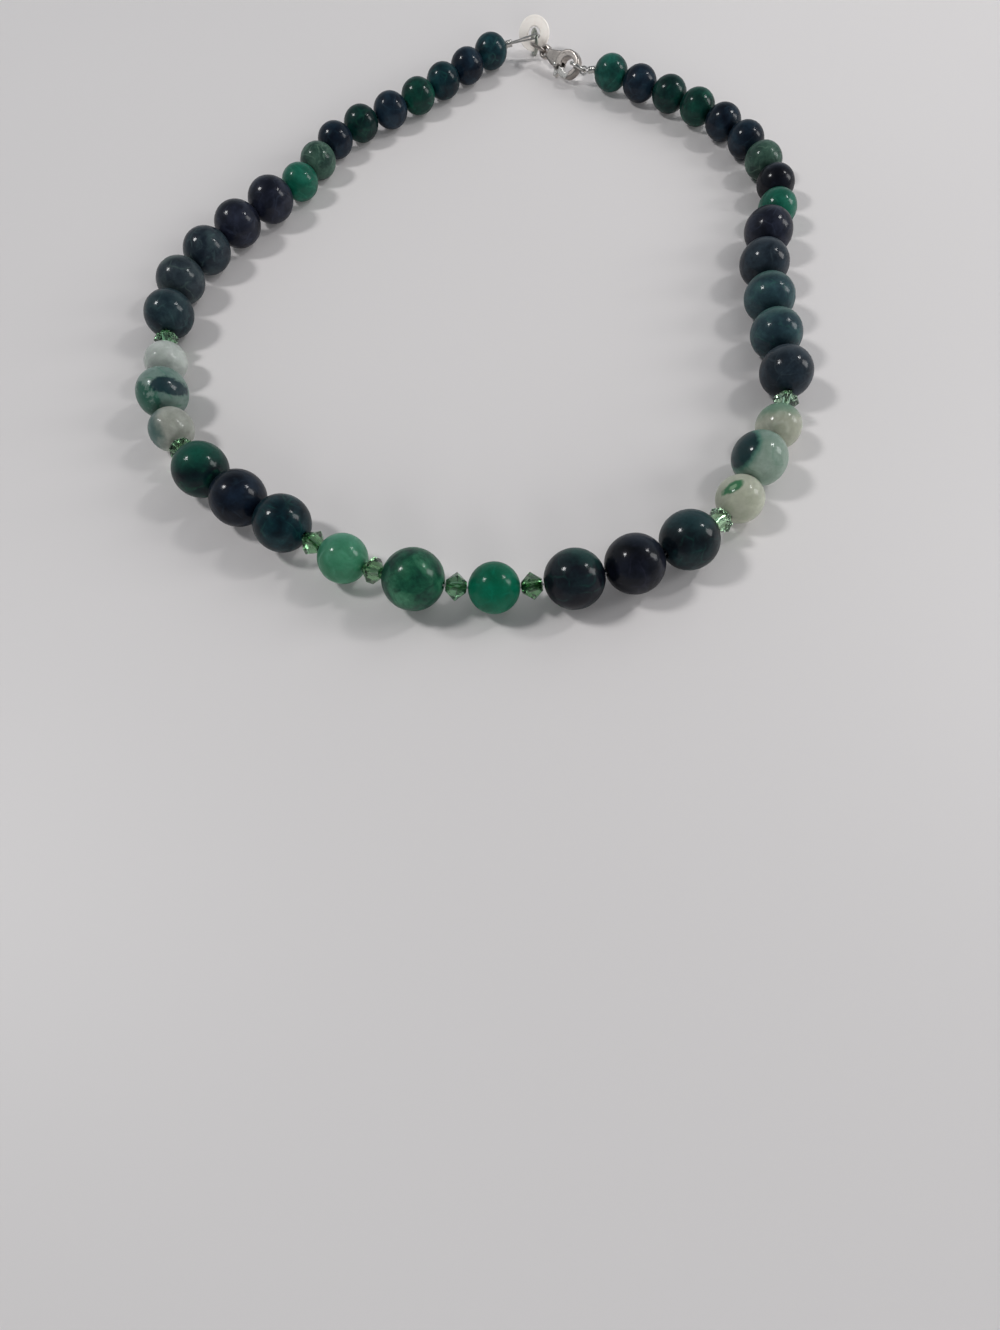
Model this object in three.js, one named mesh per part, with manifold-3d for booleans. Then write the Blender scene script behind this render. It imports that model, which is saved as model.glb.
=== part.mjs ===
// Beaded necklace: 43 polished round stone beads and 8 small faceted crystals
// strung as one closed loop on a steel beading wire, with a claw clasp, three
// jump rings, two crimps and a plain round tag. It lies on a flat surface.
//
// Frame: millimetres, +Z up, the surface is z = 0, the clasp is toward +Y and
// the largest bead toward -Y. The origin is the middle of the bounding box.

import * as THREE from 'three';
import { mergeVertices } from 'three/addons/utils/BufferGeometryUtils.js';
import Module from 'manifold-3d';

const wasm = await Module();
wasm.setup();

// ---------------------------------------------------------------- dimensions
const BEAD_GAP = 0.14;          // clear space between neighbours on the wire
const BORE_R = 0.65;            // drilled hole of every bead
const CRYSTAL = { length: 3.4, waist_r: 2.4, end_r: 1.0, bore_r: 0.55, gap: 0.2 };
const WIRE_R = 0.2;             // beading wire
const COLLAR = { outer_r: 1.35, length: 1.7 };  // bridge between joined beads
const CRIMP = { length: 1.5, outer_r: 0.82, bore_r: 0.62, start: 0.3, pair: 0.27 };
const LOOP_R = 0.88;            // turn of the wire round a ring's wire
const WIRE_PASSES = 4;          // how often the wire's joints are eased toward the bores
const BEAD_SIDES = 12;
const BEAD_BANDS = 8;

// The string, from the clasp's left end round the front to its right end.
const STRING = [
  { section: 'left_back', diameter: 8.0, crystal_after: false,
    tones: ['night', 'night', 'night', 'pine', 'night', 'pine', 'night', 'moss', 'emerald'] },
  { section: 'left_side', diameter: 9.8, crystal_after: true,
    tones: ['night', 'night', 'slate', 'slate', 'night'] },
  { section: 'left_pale_first', diameter: 8.2, crystal_after: false, tones: ['milk'] },
  { section: 'left_pale_middle', diameter: 9.8, crystal_after: false, tones: ['mist'] },
  { section: 'left_pale_last', diameter: 8.4, crystal_after: true, tones: ['milk'] },
  { section: 'left_front', diameter: 10.2, crystal_after: true, tones: ['pine', 'night', 'pine'] },
  { section: 'left_of_centre', diameter: 8.7, crystal_after: true, tones: ['mint'] },
  { section: 'centre', diameter: 10.6, crystal_after: true, tones: ['moss'] },
  { section: 'right_of_centre', diameter: 8.7, crystal_after: true, tones: ['emerald'] },
  { section: 'right_front', diameter: 10.2, crystal_after: true, tones: ['pine', 'night', 'night'] },
  { section: 'right_pale_first', diameter: 8.4, crystal_after: false, tones: ['milk'] },
  { section: 'right_pale_middle', diameter: 9.8, crystal_after: false, tones: ['mist'] },
  { section: 'right_pale_last', diameter: 8.2, crystal_after: true, tones: ['milk'] },
  { section: 'right_side', diameter: 9.8, crystal_after: false,
    tones: ['night', 'slate', 'slate', 'night', 'night'] },
  { section: 'right_back', diameter: 8.0, crystal_after: false,
    tones: ['emerald', 'night', 'moss', 'night', 'night', 'pine', 'pine', 'night', 'moss'] },
];

// Beads at the two ends of the string that are made as one solid each.
const JOINED = { left: 7, right: 7 };

// Plan of the line that the bead centres lie on, clasp left end first.
const ROUTE = [
  { x: -11.5, y: 78.5 }, { x: -27.0, y: 57.0 }, { x: -40.5, y: 42.0 }, { x: -45.5, y: 24.5 },
  { x: -55.0, y: 7.5 }, { x: -61.5, y: -11.5 }, { x: -58.0, y: -30.0 }, { x: -52.0, y: -47.0 },
  { x: -40.5, y: -59.5 }, { x: -21.5, y: -69.5 }, { x: -1.5, y: -77.0 }, { x: 17.5, y: -76.5 },
  { x: 36.5, y: -70.5 }, { x: 52.0, y: -58.0 }, { x: 57.6, y: -44.0 }, { x: 62.0, y: -29.5 },
  { x: 59.0, y: -10.5 }, { x: 56.5, y: 10.5 }, { x: 59.0, y: 29.5 }, { x: 52.0, y: 47.0 },
  { x: 38.5, y: 60.5 }, { x: 21.5, y: 70.0 },
];

// Round tag, slightly domed toward its face: it leans back on the ring through its hole.
const TAG = { x: -1.77, y: 85.85, z: 4.65, radius: 3.8, hole_r: 1.38, thickness: 0.55, bevel: 0.12,
  dome_r: 11.0, face_azimuth: -81.0, face_elevation: 28.0, ring_offset: 0.75 };
// Jump rings: wire radius and mean radius.
const TAG_RING = { wire_r: 0.4, mean_r: 2.6, turn: -11.6, wire_hold: 62.0 };
const LINK_RING = { wire_r: 0.4, mean_r: 2.1, x: 0.08, y: 81.89, z: 3.28 };
const END_RING = { wire_r: 0.4, mean_r: 1.9 };
// Claw clasp. Its own axes: a from the tail eye to the nose, b to the gate's side, c its thickness.
const CLASP = { azimuth: -38.0, slope: -1.0, roll: 50.0, tail_gap: 0.2,
  thickness: 2.2, tail_thickness: 1.5, bevel: 0.35, tail_r: 1.55, tail_hole_r: 0.95, neck_width: 2.5 };
const CLAW = { a: 7.9, b: 0.0, half_length: 3.5, half_width: 3.1 };
const EYE = { a: 8.3, b: -0.05, half_length: 1.95, half_width: 1.6 };
const LEVER = { pivot_a: 4.8, pivot_b: 1.3, pin_r: 0.32, hole_r: 0.5, boss_r: 0.9, reach: 4.6,
  thickness: 1.1, fork_gap: 0.15, tip_gap: 0.15, side_gap: 0.15, inner_trim: 0.15 };
const FIN = { a: 5.6, from_b: 1.6, to_b: 3.6, width: 0.9 };
const HELD = { a: 9.05, b: -0.6 };   // where the end ring's wire crosses the eye

const TONES = {
  night: { color: 0x0d1a1e, roughness: 0.12 },
  slate: { color: 0x16302e, roughness: 0.14 },
  pine: { color: 0x0b3427, roughness: 0.12 },
  moss: { color: 0x2c6b4a, roughness: 0.16 },
  emerald: { color: 0x128053, roughness: 0.12 },
  mint: { color: 0x6fbf98, roughness: 0.18 },
  mist: { color: 0x7f978a, roughness: 0.18 },
  milk: { color: 0xc9d0cb, roughness: 0.18 },
};

// ------------------------------------------------------------------- helpers
const V = (x, y, z) => new THREE.Vector3(x, y, z);
const UP = V(0, 0, 1);
const rad = (degrees) => THREE.MathUtils.degToRad(degrees);
const stone = (tone) => new THREE.MeshStandardMaterial({ ...TONES[tone], metalness: 0.0 });
const silver = () => new THREE.MeshStandardMaterial({ color: 0xc6c4c0, roughness: 0.28, metalness: 1.0 });
const glass = () => new THREE.MeshStandardMaterial({ color: 0x8fc79a, roughness: 0.05, metalness: 0.0 });

// A three.js geometry with its shared corners merged, wound outward.
function weld(geometry) {
  const bare = geometry.clone();
  bare.deleteAttribute('normal');
  bare.deleteAttribute('uv');
  const merged = mergeVertices(bare, 1e-5);
  const p = merged.attributes.position;
  const corners = Array.from(merged.index.array);
  const triangles = [];
  let volume = 0;
  const [A, B, C] = [V(), V(), V()];
  for (let i = 0; i < corners.length; i += 3) {
    const [i0, i1, i2] = corners.slice(i, i + 3);
    if (i0 === i1 || i1 === i2 || i2 === i0) continue;
    A.fromBufferAttribute(p, i0); B.fromBufferAttribute(p, i1); C.fromBufferAttribute(p, i2);
    volume += A.dot(B.clone().cross(C));
    triangles.push(i0, i1, i2);
  }
  if (volume < 0) {
    for (let i = 0; i < triangles.length; i += 3) {
      [triangles[i + 1], triangles[i + 2]] = [triangles[i + 2], triangles[i + 1]];
    }
  }
  merged.setIndex(triangles);
  return merged;
}

function toSolid(geometry, matrix = null) {
  const g = weld(geometry);
  if (matrix) g.applyMatrix4(matrix);
  return new wasm.Manifold(new wasm.Mesh({
    numProp: 3,
    vertProperties: new Float32Array(g.attributes.position.array),
    triVerts: new Uint32Array(g.index.array),
  }));
}

function toGeometry(solid) {
  const m = solid.getMesh();
  const g = new THREE.BufferGeometry();
  g.setAttribute('position', new THREE.BufferAttribute(new Float32Array(m.vertProperties), 3));
  g.setIndex(Array.from(m.triVerts));
  g.computeVertexNormals();
  return g;
}

function piece(name, geometry, material) {
  const mesh = new THREE.Mesh(geometry, material);
  mesh.name = name;
  return mesh;
}

// Closed ring profile, turned round the local Y axis.
function turned(points, sides) {
  const profile = points.map(([r, y]) => new THREE.Vector2(r, y));
  profile.push(profile[0].clone());
  return weld(new THREE.LatheGeometry(profile, sides));
}

function circleShape(radius, sides) {
  const shape = new THREE.Shape();
  for (let i = 0; i < sides; i++) {
    const angle = (2 * Math.PI * i) / sides;
    const [x, y] = [radius * Math.cos(angle), radius * Math.sin(angle)];
    if (i === 0) shape.moveTo(x, y); else shape.lineTo(x, y);
  }
  shape.closePath();
  return shape;
}

// A line through given corners, met exactly by the stations of a sweep.
class Polyline extends THREE.Curve {
  constructor(points) { super(); this.points = points; }
  getUtoTmapping(u) { return u; }
  getPoint(t, target = new THREE.Vector3()) {
    const last = this.points.length - 1;
    const s = THREE.MathUtils.clamp(t, 0, 1) * last;
    const i = Math.min(Math.floor(s), last - 1);
    return target.copy(this.points[i]).lerp(this.points[i + 1], s - i);
  }
}

function tube(points, radius, sides) {
  return new THREE.ExtrudeGeometry(circleShape(radius, sides), {
    steps: points.length - 1, bevelEnabled: false, extrudePath: new Polyline(points),
  });
}

// Local Y along the given direction, local Z as low as it can point.
function axisBasis(direction) {
  const y = direction.clone().normalize();
  const z = UP.clone().negate();
  z.addScaledVector(y, -z.dot(y)).normalize();
  const x = y.clone().cross(z);
  return new THREE.Matrix4().makeBasis(x, y, z);
}

function place(mesh, centre, direction) {
  mesh.position.copy(centre);
  mesh.quaternion.setFromRotationMatrix(axisBasis(direction));
  return mesh;
}

// --------------------------------------------------------------------- beads
function beadGeometry(radius) {
  const first = Math.asin(BORE_R / radius);
  const points = [];
  for (let i = 0; i <= BEAD_BANDS; i++) {
    const angle = first + ((Math.PI - 2 * first) * i) / BEAD_BANDS;
    points.push([radius * Math.sin(angle), -radius * Math.cos(angle)]);
  }
  points[0][0] = BORE_R;
  points[BEAD_BANDS][0] = BORE_R;
  return turned(points, BEAD_SIDES);
}

function fullBeadGeometry(radius) {
  const points = [];
  for (let i = 0; i <= BEAD_BANDS; i++) {
    const angle = (Math.PI * i) / BEAD_BANDS;
    const r = i === 0 || i === BEAD_BANDS ? 0 : radius * Math.sin(angle);
    points.push(new THREE.Vector2(r, -radius * Math.cos(angle)));
  }
  return new THREE.LatheGeometry(points, BEAD_SIDES);
}

function crystalGeometry() {
  const h = CRYSTAL.length / 2;
  return turned([[CRYSTAL.bore_r, -h], [CRYSTAL.end_r, -h], [CRYSTAL.waist_r, 0],
    [CRYSTAL.end_r, h], [CRYSTAL.bore_r, h]], 8);
}

// Bead list and the step from each centre to the next along the wire.
const beads = [];
for (const row of STRING) {
  row.tones.forEach((tone, i) => beads.push({
    radius: row.diameter / 2, tone,
    crystal_after: row.crystal_after && i === row.tones.length - 1,
  }));
}

// Each bead rests on the surface, so its centre is one radius high; the plan
// step is what is left of the bead-to-bead distance.
const line = new THREE.CatmullRomCurve3(ROUTE.map(({ x, y }) => V(x, y, 0)), false, 'centripetal');
const LINE_STEPS = 14;
const plan = [];
for (let i = 0; i <= (ROUTE.length - 1) * LINE_STEPS; i++) {
  plan.push(line.getPoint(i / ((ROUTE.length - 1) * LINE_STEPS)));
}

beads[0].centre = V(plan[0].x, plan[0].y, beads[0].radius);
let station = 0;
for (let i = 1; i < beads.length; i++) {
  const [last, next] = [beads[i - 1], beads[i]];
  const spacing = last.radius + next.radius
    + (last.crystal_after ? CRYSTAL.length + 2 * CRYSTAL.gap : BEAD_GAP);
  const reach = Math.sqrt(spacing ** 2 - (next.radius - last.radius) ** 2);
  const from = V(last.centre.x, last.centre.y, 0);
  while (station < plan.length - 2 && plan[station + 1].distanceTo(from) < reach) station++;
  const [p, q] = [plan[station], plan[station + 1]];
  const run = q.clone().sub(p);
  const lead = p.clone().sub(from);
  const [a, b, c] = [run.lengthSq(), lead.dot(run), lead.lengthSq() - reach ** 2];
  const at = p.clone().addScaledVector(run, (-b + Math.sqrt(b * b - a * c)) / a);
  next.centre = V(at.x, at.y, next.radius);
}

// ------------------------------------------------------- tag and its own ring
const tagFace = V(
  Math.cos(rad(TAG.face_azimuth)) * Math.cos(rad(TAG.face_elevation)),
  Math.sin(rad(TAG.face_azimuth)) * Math.cos(rad(TAG.face_elevation)),
  Math.sin(rad(TAG.face_elevation)),
);
const tagCentre = V(TAG.x, TAG.y, TAG.z);
const tagSide = UP.clone().cross(tagFace).normalize();         // to the right, level
const tagDown = tagSide.clone().cross(tagFace).negate().normalize();
if (tagDown.z > 0) tagDown.negate();
const ringOut = tagFace.clone().applyAxisAngle(tagDown, rad(TAG_RING.turn));
const tagRingCentre = tagCentre.clone()
  .addScaledVector(tagDown, TAG_RING.mean_r - TAG.ring_offset);
const onTagRing = (degrees) => tagRingCentre.clone()
  .addScaledVector(tagDown, -TAG_RING.mean_r * Math.cos(rad(degrees)))
  .addScaledVector(ringOut, TAG_RING.mean_r * Math.sin(rad(degrees)));
const tagRingAlong = (degrees) => tagDown.clone().multiplyScalar(Math.sin(rad(degrees)))
  .addScaledVector(ringOut, Math.cos(rad(degrees))).normalize();

function ringGeometry({ wire_r, mean_r }, around, section) {
  const points = [];
  for (let i = 0; i < section; i++) {
    const angle = (2 * Math.PI * i) / section;
    points.push([mean_r + wire_r * Math.cos(angle), wire_r * Math.sin(angle)]);
  }
  return turned(points, around);
}

// A shallow dome with a hole: its middle surface is part of a ball of radius dome_r.
function tagGeometry() {
  const { radius, hole_r, thickness, bevel, dome_r } = TAG;
  const sag = (r) => dome_r - Math.sqrt(dome_r ** 2 - r ** 2);
  const middle = (sag(hole_r) + sag(radius)) / 2;
  const spot = (r, depth) => [r, middle - sag(r) + depth];
  const half = thickness / 2;
  const points = [];
  const steps = 4;
  for (const side of [1, -1]) {
    for (let i = 0; i <= steps; i++) {
      const t = side > 0 ? i / steps : 1 - i / steps;
      points.push(spot(hole_r + bevel + (radius - hole_r - 2 * bevel) * t, side * half));
    }
    const edge = side > 0 ? radius : hole_r;
    points.push(spot(edge, side * (half - bevel)), spot(edge, -side * (half - bevel)));
  }
  return turned(points, 24);
}

// ---------------------------------------------------------------- claw clasp
const axisA = V(
  Math.cos(rad(CLASP.azimuth)) * Math.cos(rad(CLASP.slope)),
  Math.sin(rad(CLASP.azimuth)) * Math.cos(rad(CLASP.slope)),
  Math.sin(rad(CLASP.slope)),
);
const level = axisA.clone().cross(UP).normalize();             // level, toward -Y
const upright = level.clone().cross(axisA).normalize();
const axisB = level.clone().multiplyScalar(Math.cos(rad(CLASP.roll)))
  .addScaledVector(upright, -Math.sin(rad(CLASP.roll)));
const axisC = axisA.clone().cross(axisB);
const linkCentre = V(LINK_RING.x, LINK_RING.y, LINK_RING.z);
const tail = linkCentre.clone().addScaledVector(axisA, LINK_RING.mean_r + CLASP.tail_gap);
const claspMatrix = new THREE.Matrix4().makeBasis(axisA, axisB, axisC).setPosition(tail);
const inClasp = (a, b, c = 0) => V(a, b, c).applyMatrix4(claspMatrix);

function slab(shape, thickness, bevel, curveSegments = 14) {
  const g = new THREE.ExtrudeGeometry(shape, bevel > 0
    ? { depth: thickness - 2 * bevel, bevelEnabled: true, bevelThickness: bevel,
      bevelSize: bevel, bevelOffset: -bevel, bevelSegments: 2, curveSegments, steps: 1 }
    : { depth: thickness, bevelEnabled: false, curveSegments, steps: 1 });
  g.translate(0, 0, bevel > 0 ? -(thickness / 2 - bevel) : -thickness / 2);
  return toSolid(g);
}

function ellipseShape({ a, b, half_length, half_width }, sides) {
  const shape = new THREE.Shape();
  for (let i = 0; i < sides; i++) {
    const angle = (2 * Math.PI * i) / sides;
    const [x, y] = [a + half_length * Math.cos(angle), b + half_width * Math.sin(angle)];
    if (i === 0) shape.moveTo(x, y); else shape.lineTo(x, y);
  }
  shape.closePath();
  return shape;
}

function polygonShape(corners) {
  const shape = new THREE.Shape();
  corners.forEach(([x, y], i) => (i === 0 ? shape.moveTo(x, y) : shape.lineTo(x, y)));
  shape.closePath();
  return shape;
}

const discAt = (a, b, radius, sides) => ellipseShape({ a, b, half_length: radius, half_width: radius }, sides);
const pivot = [LEVER.pivot_a, LEVER.pivot_b];
// Where the gate is: above this line on the gate's side, from the fork to the nose.
const gateZone = (inset) => polygonShape([
  [LEVER.pivot_a + 0.9 + inset, LEVER.pivot_b - 0.35 + inset], [LEVER.pivot_a + 7, LEVER.pivot_b - 0.35 + inset],
  [LEVER.pivot_a + 7, 6], [LEVER.pivot_a + 0.9 + inset, 6],
]);

function claspBody() {
  const tall = CLASP.thickness + 2;
  let body = slab(ellipseShape(CLAW, 36), CLASP.thickness, CLASP.bevel);
  body = body.subtract(slab(ellipseShape(EYE, 28), tall, 0));
  const half = CLASP.neck_width / 2;
  body = body.add(slab(polygonShape([[1.0, -half * 0.72], [4.9, -half * 1.5], [5.6, -half * 1.5], [5.45, half * 1.7],
    [3.6, half * 1.45], [1.0, half * 0.72]]), CLASP.thickness - 0.1, CLASP.bevel)
    .subtract(slab(ellipseShape(EYE, 28), tall, 0)));
  body = body.add(slab(discAt(0, 0, CLASP.tail_r, 20), CLASP.tail_thickness, 0.25));
  body = body.subtract(slab(discAt(0, 0, CLASP.tail_hole_r, 14), tall, 0));
  // the gate's opening between the fork and the nose
  const sweep = slab(discAt(...pivot, LEVER.reach + LEVER.tip_gap, 48), tall, 0);
  body = body.subtract(sweep.intersect(slab(gateZone(0), tall, 0)));
  // the fork that the lever turns in, and its pin
  const slot = LEVER.thickness + 2 * LEVER.fork_gap;
  body = body.subtract(slab(polygonShape([[LEVER.pivot_a - LEVER.boss_r - 0.2, LEVER.pivot_b - LEVER.boss_r - 0.2],
    [8, LEVER.pivot_b - LEVER.boss_r - 0.2], [8, 6], [LEVER.pivot_a - LEVER.boss_r - 0.2, 6]]), slot, 0)
    .intersect(slab(polygonShape([[0, -6], [LEVER.pivot_a + 2.2, -6], [LEVER.pivot_a + 2.2, 6], [0, 6]]), tall, 0)));
  body = body.add(slab(discAt(...pivot, LEVER.pin_r, 10), CLASP.thickness - 0.3, 0));
  return toGeometry(body);
}

function claspLever() {
  const tall = CLASP.thickness + 2;
  let gate = slab(ellipseShape(CLAW, 36), LEVER.thickness, 0.2);
  const inner = { ...EYE, half_width: EYE.half_width + LEVER.inner_trim };
  gate = gate.subtract(slab(ellipseShape(inner, 28), tall, 0));
  gate = gate.intersect(slab(discAt(...pivot, LEVER.reach, 48), tall, 0));
  gate = gate.intersect(slab(polygonShape([[LEVER.pivot_a - 0.2, LEVER.pivot_b - 0.1],
    [12, LEVER.pivot_b - 0.1], [12, 6], [LEVER.pivot_a - 0.2, 6]]), tall, 0));
  let lever = gate.add(slab(discAt(...pivot, LEVER.boss_r, 18), LEVER.thickness, 0));
  lever = lever.add(slab(polygonShape([[FIN.a - FIN.width, FIN.from_b], [FIN.a + FIN.width, FIN.from_b],
    [FIN.a + FIN.width * 0.45, FIN.to_b], [FIN.a - FIN.width * 0.45, FIN.to_b]]), LEVER.thickness, 0.2));
  lever = lever.subtract(slab(discAt(...pivot, LEVER.hole_r, 14), tall, 0));
  return toGeometry(lever);
}

// ------------------------------------------------------- end rings and wires
const endRingCentre = inClasp(HELD.a + END_RING.mean_r, HELD.b);
const leftHold = onTagRing(TAG_RING.wire_hold);
const leftHoldAlong = tagRingAlong(TAG_RING.wire_hold);
const rightHold = inClasp(HELD.a + 2 * END_RING.mean_r, HELD.b);
const rightHoldAlong = axisC.clone();

// Bore direction of each bead: half way between the lines to its neighbours.
const centres = beads.map((bead) => bead.centre);
beads.forEach((bead, i) => {
  const before = i === 0 ? leftHold : centres[i - 1];
  const after = i === beads.length - 1 ? rightHold : centres[i + 1];
  const into = bead.centre.clone().sub(before).normalize();
  const out = after.clone().sub(bead.centre).normalize();
  bead.direction = into.add(out).normalize();
  bead.entry = bead.centre.clone().addScaledVector(bead.direction, -bead.radius);
  bead.exit = bead.centre.clone().addScaledVector(bead.direction, bead.radius);
});
// The wire runs straight through each bead between shared joints; at a crystal
// it also runs straight through the crystal. Each bead turns to suit its wire.
beads.forEach((bead, i) => {
  const next = beads[i + 1];
  if (!next || bead.crystal_after) return;
  const joint = bead.exit.clone().add(next.entry).multiplyScalar(0.5);
  bead.exit = joint.clone();
  next.entry = joint.clone();
});
const offLine = (bead) => {          // from the straight wire to the bead's centre
  const along = bead.exit.clone().sub(bead.entry).normalize();
  const lead = bead.centre.clone().sub(bead.entry);
  return lead.addScaledVector(along, -lead.dot(along));
};
for (let pass = 0; pass < WIRE_PASSES; pass++) {
  const off = beads.map(offLine);
  beads.forEach((bead, i) => {
    if (i === beads.length - 1 || bead.crystal_after) return;
    bead.exit.addScaledVector(off[i].clone().add(off[i + 1]), 0.5);
    beads[i + 1].entry.copy(bead.exit);
  });
}
beads.forEach((bead) => { bead.direction = bead.exit.clone().sub(bead.entry).normalize(); });
const wireThrough = (run) => {
  const points = [run[0].entry.clone()];
  run.forEach((bead, i) => {
    points.push(bead.exit.clone());
    if (bead.crystal_after && run[i + 1]) points.push(run[i + 1].entry.clone());
  });
  return points;
};

// One end of the wire: out of the last bead, through the crimp, round the ring
// and back into the crimp beside itself.
function endLoop(from, hold, along) {
  const direction = hold.clone().sub(from).normalize();
  const side = along.clone().cross(direction).normalize();
  const crimpCentre = from.clone().addScaledVector(direction, CRIMP.start + CRIMP.length / 2);
  const at = (run, offset) => from.clone().addScaledVector(direction, run).addScaledVector(side, offset);
  const [inner, outer] = [CRIMP.start, CRIMP.start + CRIMP.length];
  const points = [at(inner, CRIMP.pair), at(outer, CRIMP.pair)];
  const turns = 8;
  const skew = Math.sqrt(1 - direction.dot(along) ** 2);
  for (let i = 0; i <= turns; i++) {
    const angle = (Math.PI * i) / turns;
    points.push(hold.clone().addScaledVector(side, LOOP_R * Math.cos(angle))
      .addScaledVector(direction, (LOOP_R / skew) * Math.sin(angle)));
  }
  points.push(at(outer, -CRIMP.pair), at(inner, -CRIMP.pair));
  return { points, crimpCentre, direction };
}

const leftEnd = endLoop(beads[0].entry, leftHold, leftHoldAlong);
const rightEnd = endLoop(beads[beads.length - 1].exit, rightHold, rightHoldAlong);

const wirePoints = [...leftEnd.points];
wirePoints.push(...wireThrough(beads));
wirePoints.push(...rightEnd.points.slice().reverse());

// Beads joined along the wire: full beads and collars, then one bore through all.
function joinedRun(run) {
  let solid = null;
  const put = (next) => { solid = solid ? solid.add(next) : next; };
  for (const bead of run) {
    put(toSolid(fullBeadGeometry(bead.radius), axisBasis(bead.direction).setPosition(bead.centre)));
  }
  for (let i = 1; i < run.length; i++) {
    const [p, q] = [run[i - 1].centre, run[i].centre];
    const along = q.clone().sub(p).normalize();
    const middle = run[i].entry;
    const collar = new THREE.CylinderGeometry(COLLAR.outer_r, COLLAR.outer_r, COLLAR.length, 10);
    put(toSolid(collar, axisBasis(along).setPosition(middle)));
  }
  const path = wireThrough(run);
  path.unshift(path[0].clone().addScaledVector(run[0].direction, -1));
  path.push(path[path.length - 1].clone().addScaledVector(run[run.length - 1].direction, 1));
  return toGeometry(solid.subtract(toSolid(tube(path, BORE_R, 8))));
}

function crimpGeometry() {
  const h = CRIMP.length / 2;
  const edge = 0.1;
  return turned([[CRIMP.bore_r, -h], [CRIMP.outer_r - edge, -h], [CRIMP.outer_r, -h + edge],
    [CRIMP.outer_r, h - edge], [CRIMP.outer_r - edge, h], [CRIMP.bore_r, h]], 12);
}

// ------------------------------------------------------------------ assembly
const necklace = new THREE.Group();
const string = new THREE.Group();
const clasp = new THREE.Group();
necklace.add(string, clasp);

let crystalNumber = 0;
const two = (n) => String(n).padStart(2, '0');
beads.forEach((bead, i) => {
  if (i >= JOINED.left && i < beads.length - JOINED.right) {
    string.add(place(piece(`bead_${two(i + 1)}`, beadGeometry(bead.radius), stone(bead.tone)),
      bead.centre, bead.direction));
  }
  if (bead.crystal_after) {
    const next = beads[i + 1];
    const middle = bead.exit.clone().add(next.entry).multiplyScalar(0.5);
    crystalNumber += 1;
    string.add(place(piece(`crystal_${crystalNumber}`, crystalGeometry(), glass()),
      middle, next.entry.clone().sub(bead.exit)));
  }
});
string.add(piece('back_beads_left', joinedRun(beads.slice(0, JOINED.left)), stone('night')));
string.add(piece('back_beads_right', joinedRun(beads.slice(-JOINED.right)), stone('night')));
string.add(piece('beading_wire', weld(tube(wirePoints, WIRE_R, 6)),
  new THREE.MeshStandardMaterial({ color: 0x9b9a97, roughness: 0.4, metalness: 0.9 })));

clasp.add(place(piece('crimp_left', crimpGeometry(), silver()), leftEnd.crimpCentre, leftEnd.direction));
clasp.add(place(piece('crimp_right', crimpGeometry(), silver()), rightEnd.crimpCentre, rightEnd.direction));
clasp.add(place(piece('ring_tag', ringGeometry(TAG_RING, 20, 8), silver()),
  tagRingCentre, tagDown.clone().cross(ringOut)));
clasp.add(place(piece('ring_link', ringGeometry(LINK_RING, 18, 8), silver()), linkCentre, axisB));
clasp.add(place(piece('ring_end', ringGeometry(END_RING, 18, 8), silver()), endRingCentre, axisB));

clasp.add(place(piece('tag', tagGeometry(), silver()), tagCentre, tagFace));

const claw = new THREE.Group();
claw.position.copy(tail);
claw.quaternion.setFromRotationMatrix(new THREE.Matrix4().makeBasis(axisA, axisB, axisC));
claw.add(piece('clasp_body', claspBody(), silver()), piece('clasp_lever', claspLever(), silver()));
clasp.add(claw);

// The origin is under the middle of the whole.
const whole = new THREE.Box3().setFromObject(necklace, true).getCenter(V());
necklace.position.set(-whole.x, -whole.y, 0);

export default necklace;
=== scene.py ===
import math

import bmesh
import bpy
import numpy as np
from mathutils import Matrix, Quaternion, Vector, noise


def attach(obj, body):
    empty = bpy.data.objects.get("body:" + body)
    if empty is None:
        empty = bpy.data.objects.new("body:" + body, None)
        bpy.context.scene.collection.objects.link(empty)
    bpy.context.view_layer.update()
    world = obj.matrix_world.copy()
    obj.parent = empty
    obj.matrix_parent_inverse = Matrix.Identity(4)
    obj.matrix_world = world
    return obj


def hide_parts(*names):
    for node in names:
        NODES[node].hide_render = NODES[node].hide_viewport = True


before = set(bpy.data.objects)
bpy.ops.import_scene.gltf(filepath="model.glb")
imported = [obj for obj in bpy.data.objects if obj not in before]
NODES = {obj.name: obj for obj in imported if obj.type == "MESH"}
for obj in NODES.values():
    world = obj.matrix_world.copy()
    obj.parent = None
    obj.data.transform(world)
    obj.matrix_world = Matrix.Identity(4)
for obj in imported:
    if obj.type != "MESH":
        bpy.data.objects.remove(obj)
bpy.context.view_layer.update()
MM = 0.001

# ---------------------------------------------------------------- sizes, in millimetres
BEAD_GAP = 0.14
CRYSTAL = {"length": 3.4, "waist_r": 2.4, "end_r": 1.0, "bore_r": 0.5, "gap": 0.2, "girdle": 0.12}
WIRE_R = 0.2
WIRE_PASSES = 4
BORE = {"r": 0.6, "lip": 0.16}
CRIMP = {"length": 1.5, "outer_r": 0.82, "bore_r": 0.62, "start": 0.3, "pair": 0.27}
LOOP_R = 0.88
SHIFT = (-0.05913, -2.68251)      # from the string's own plan to the part's origin

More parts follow.
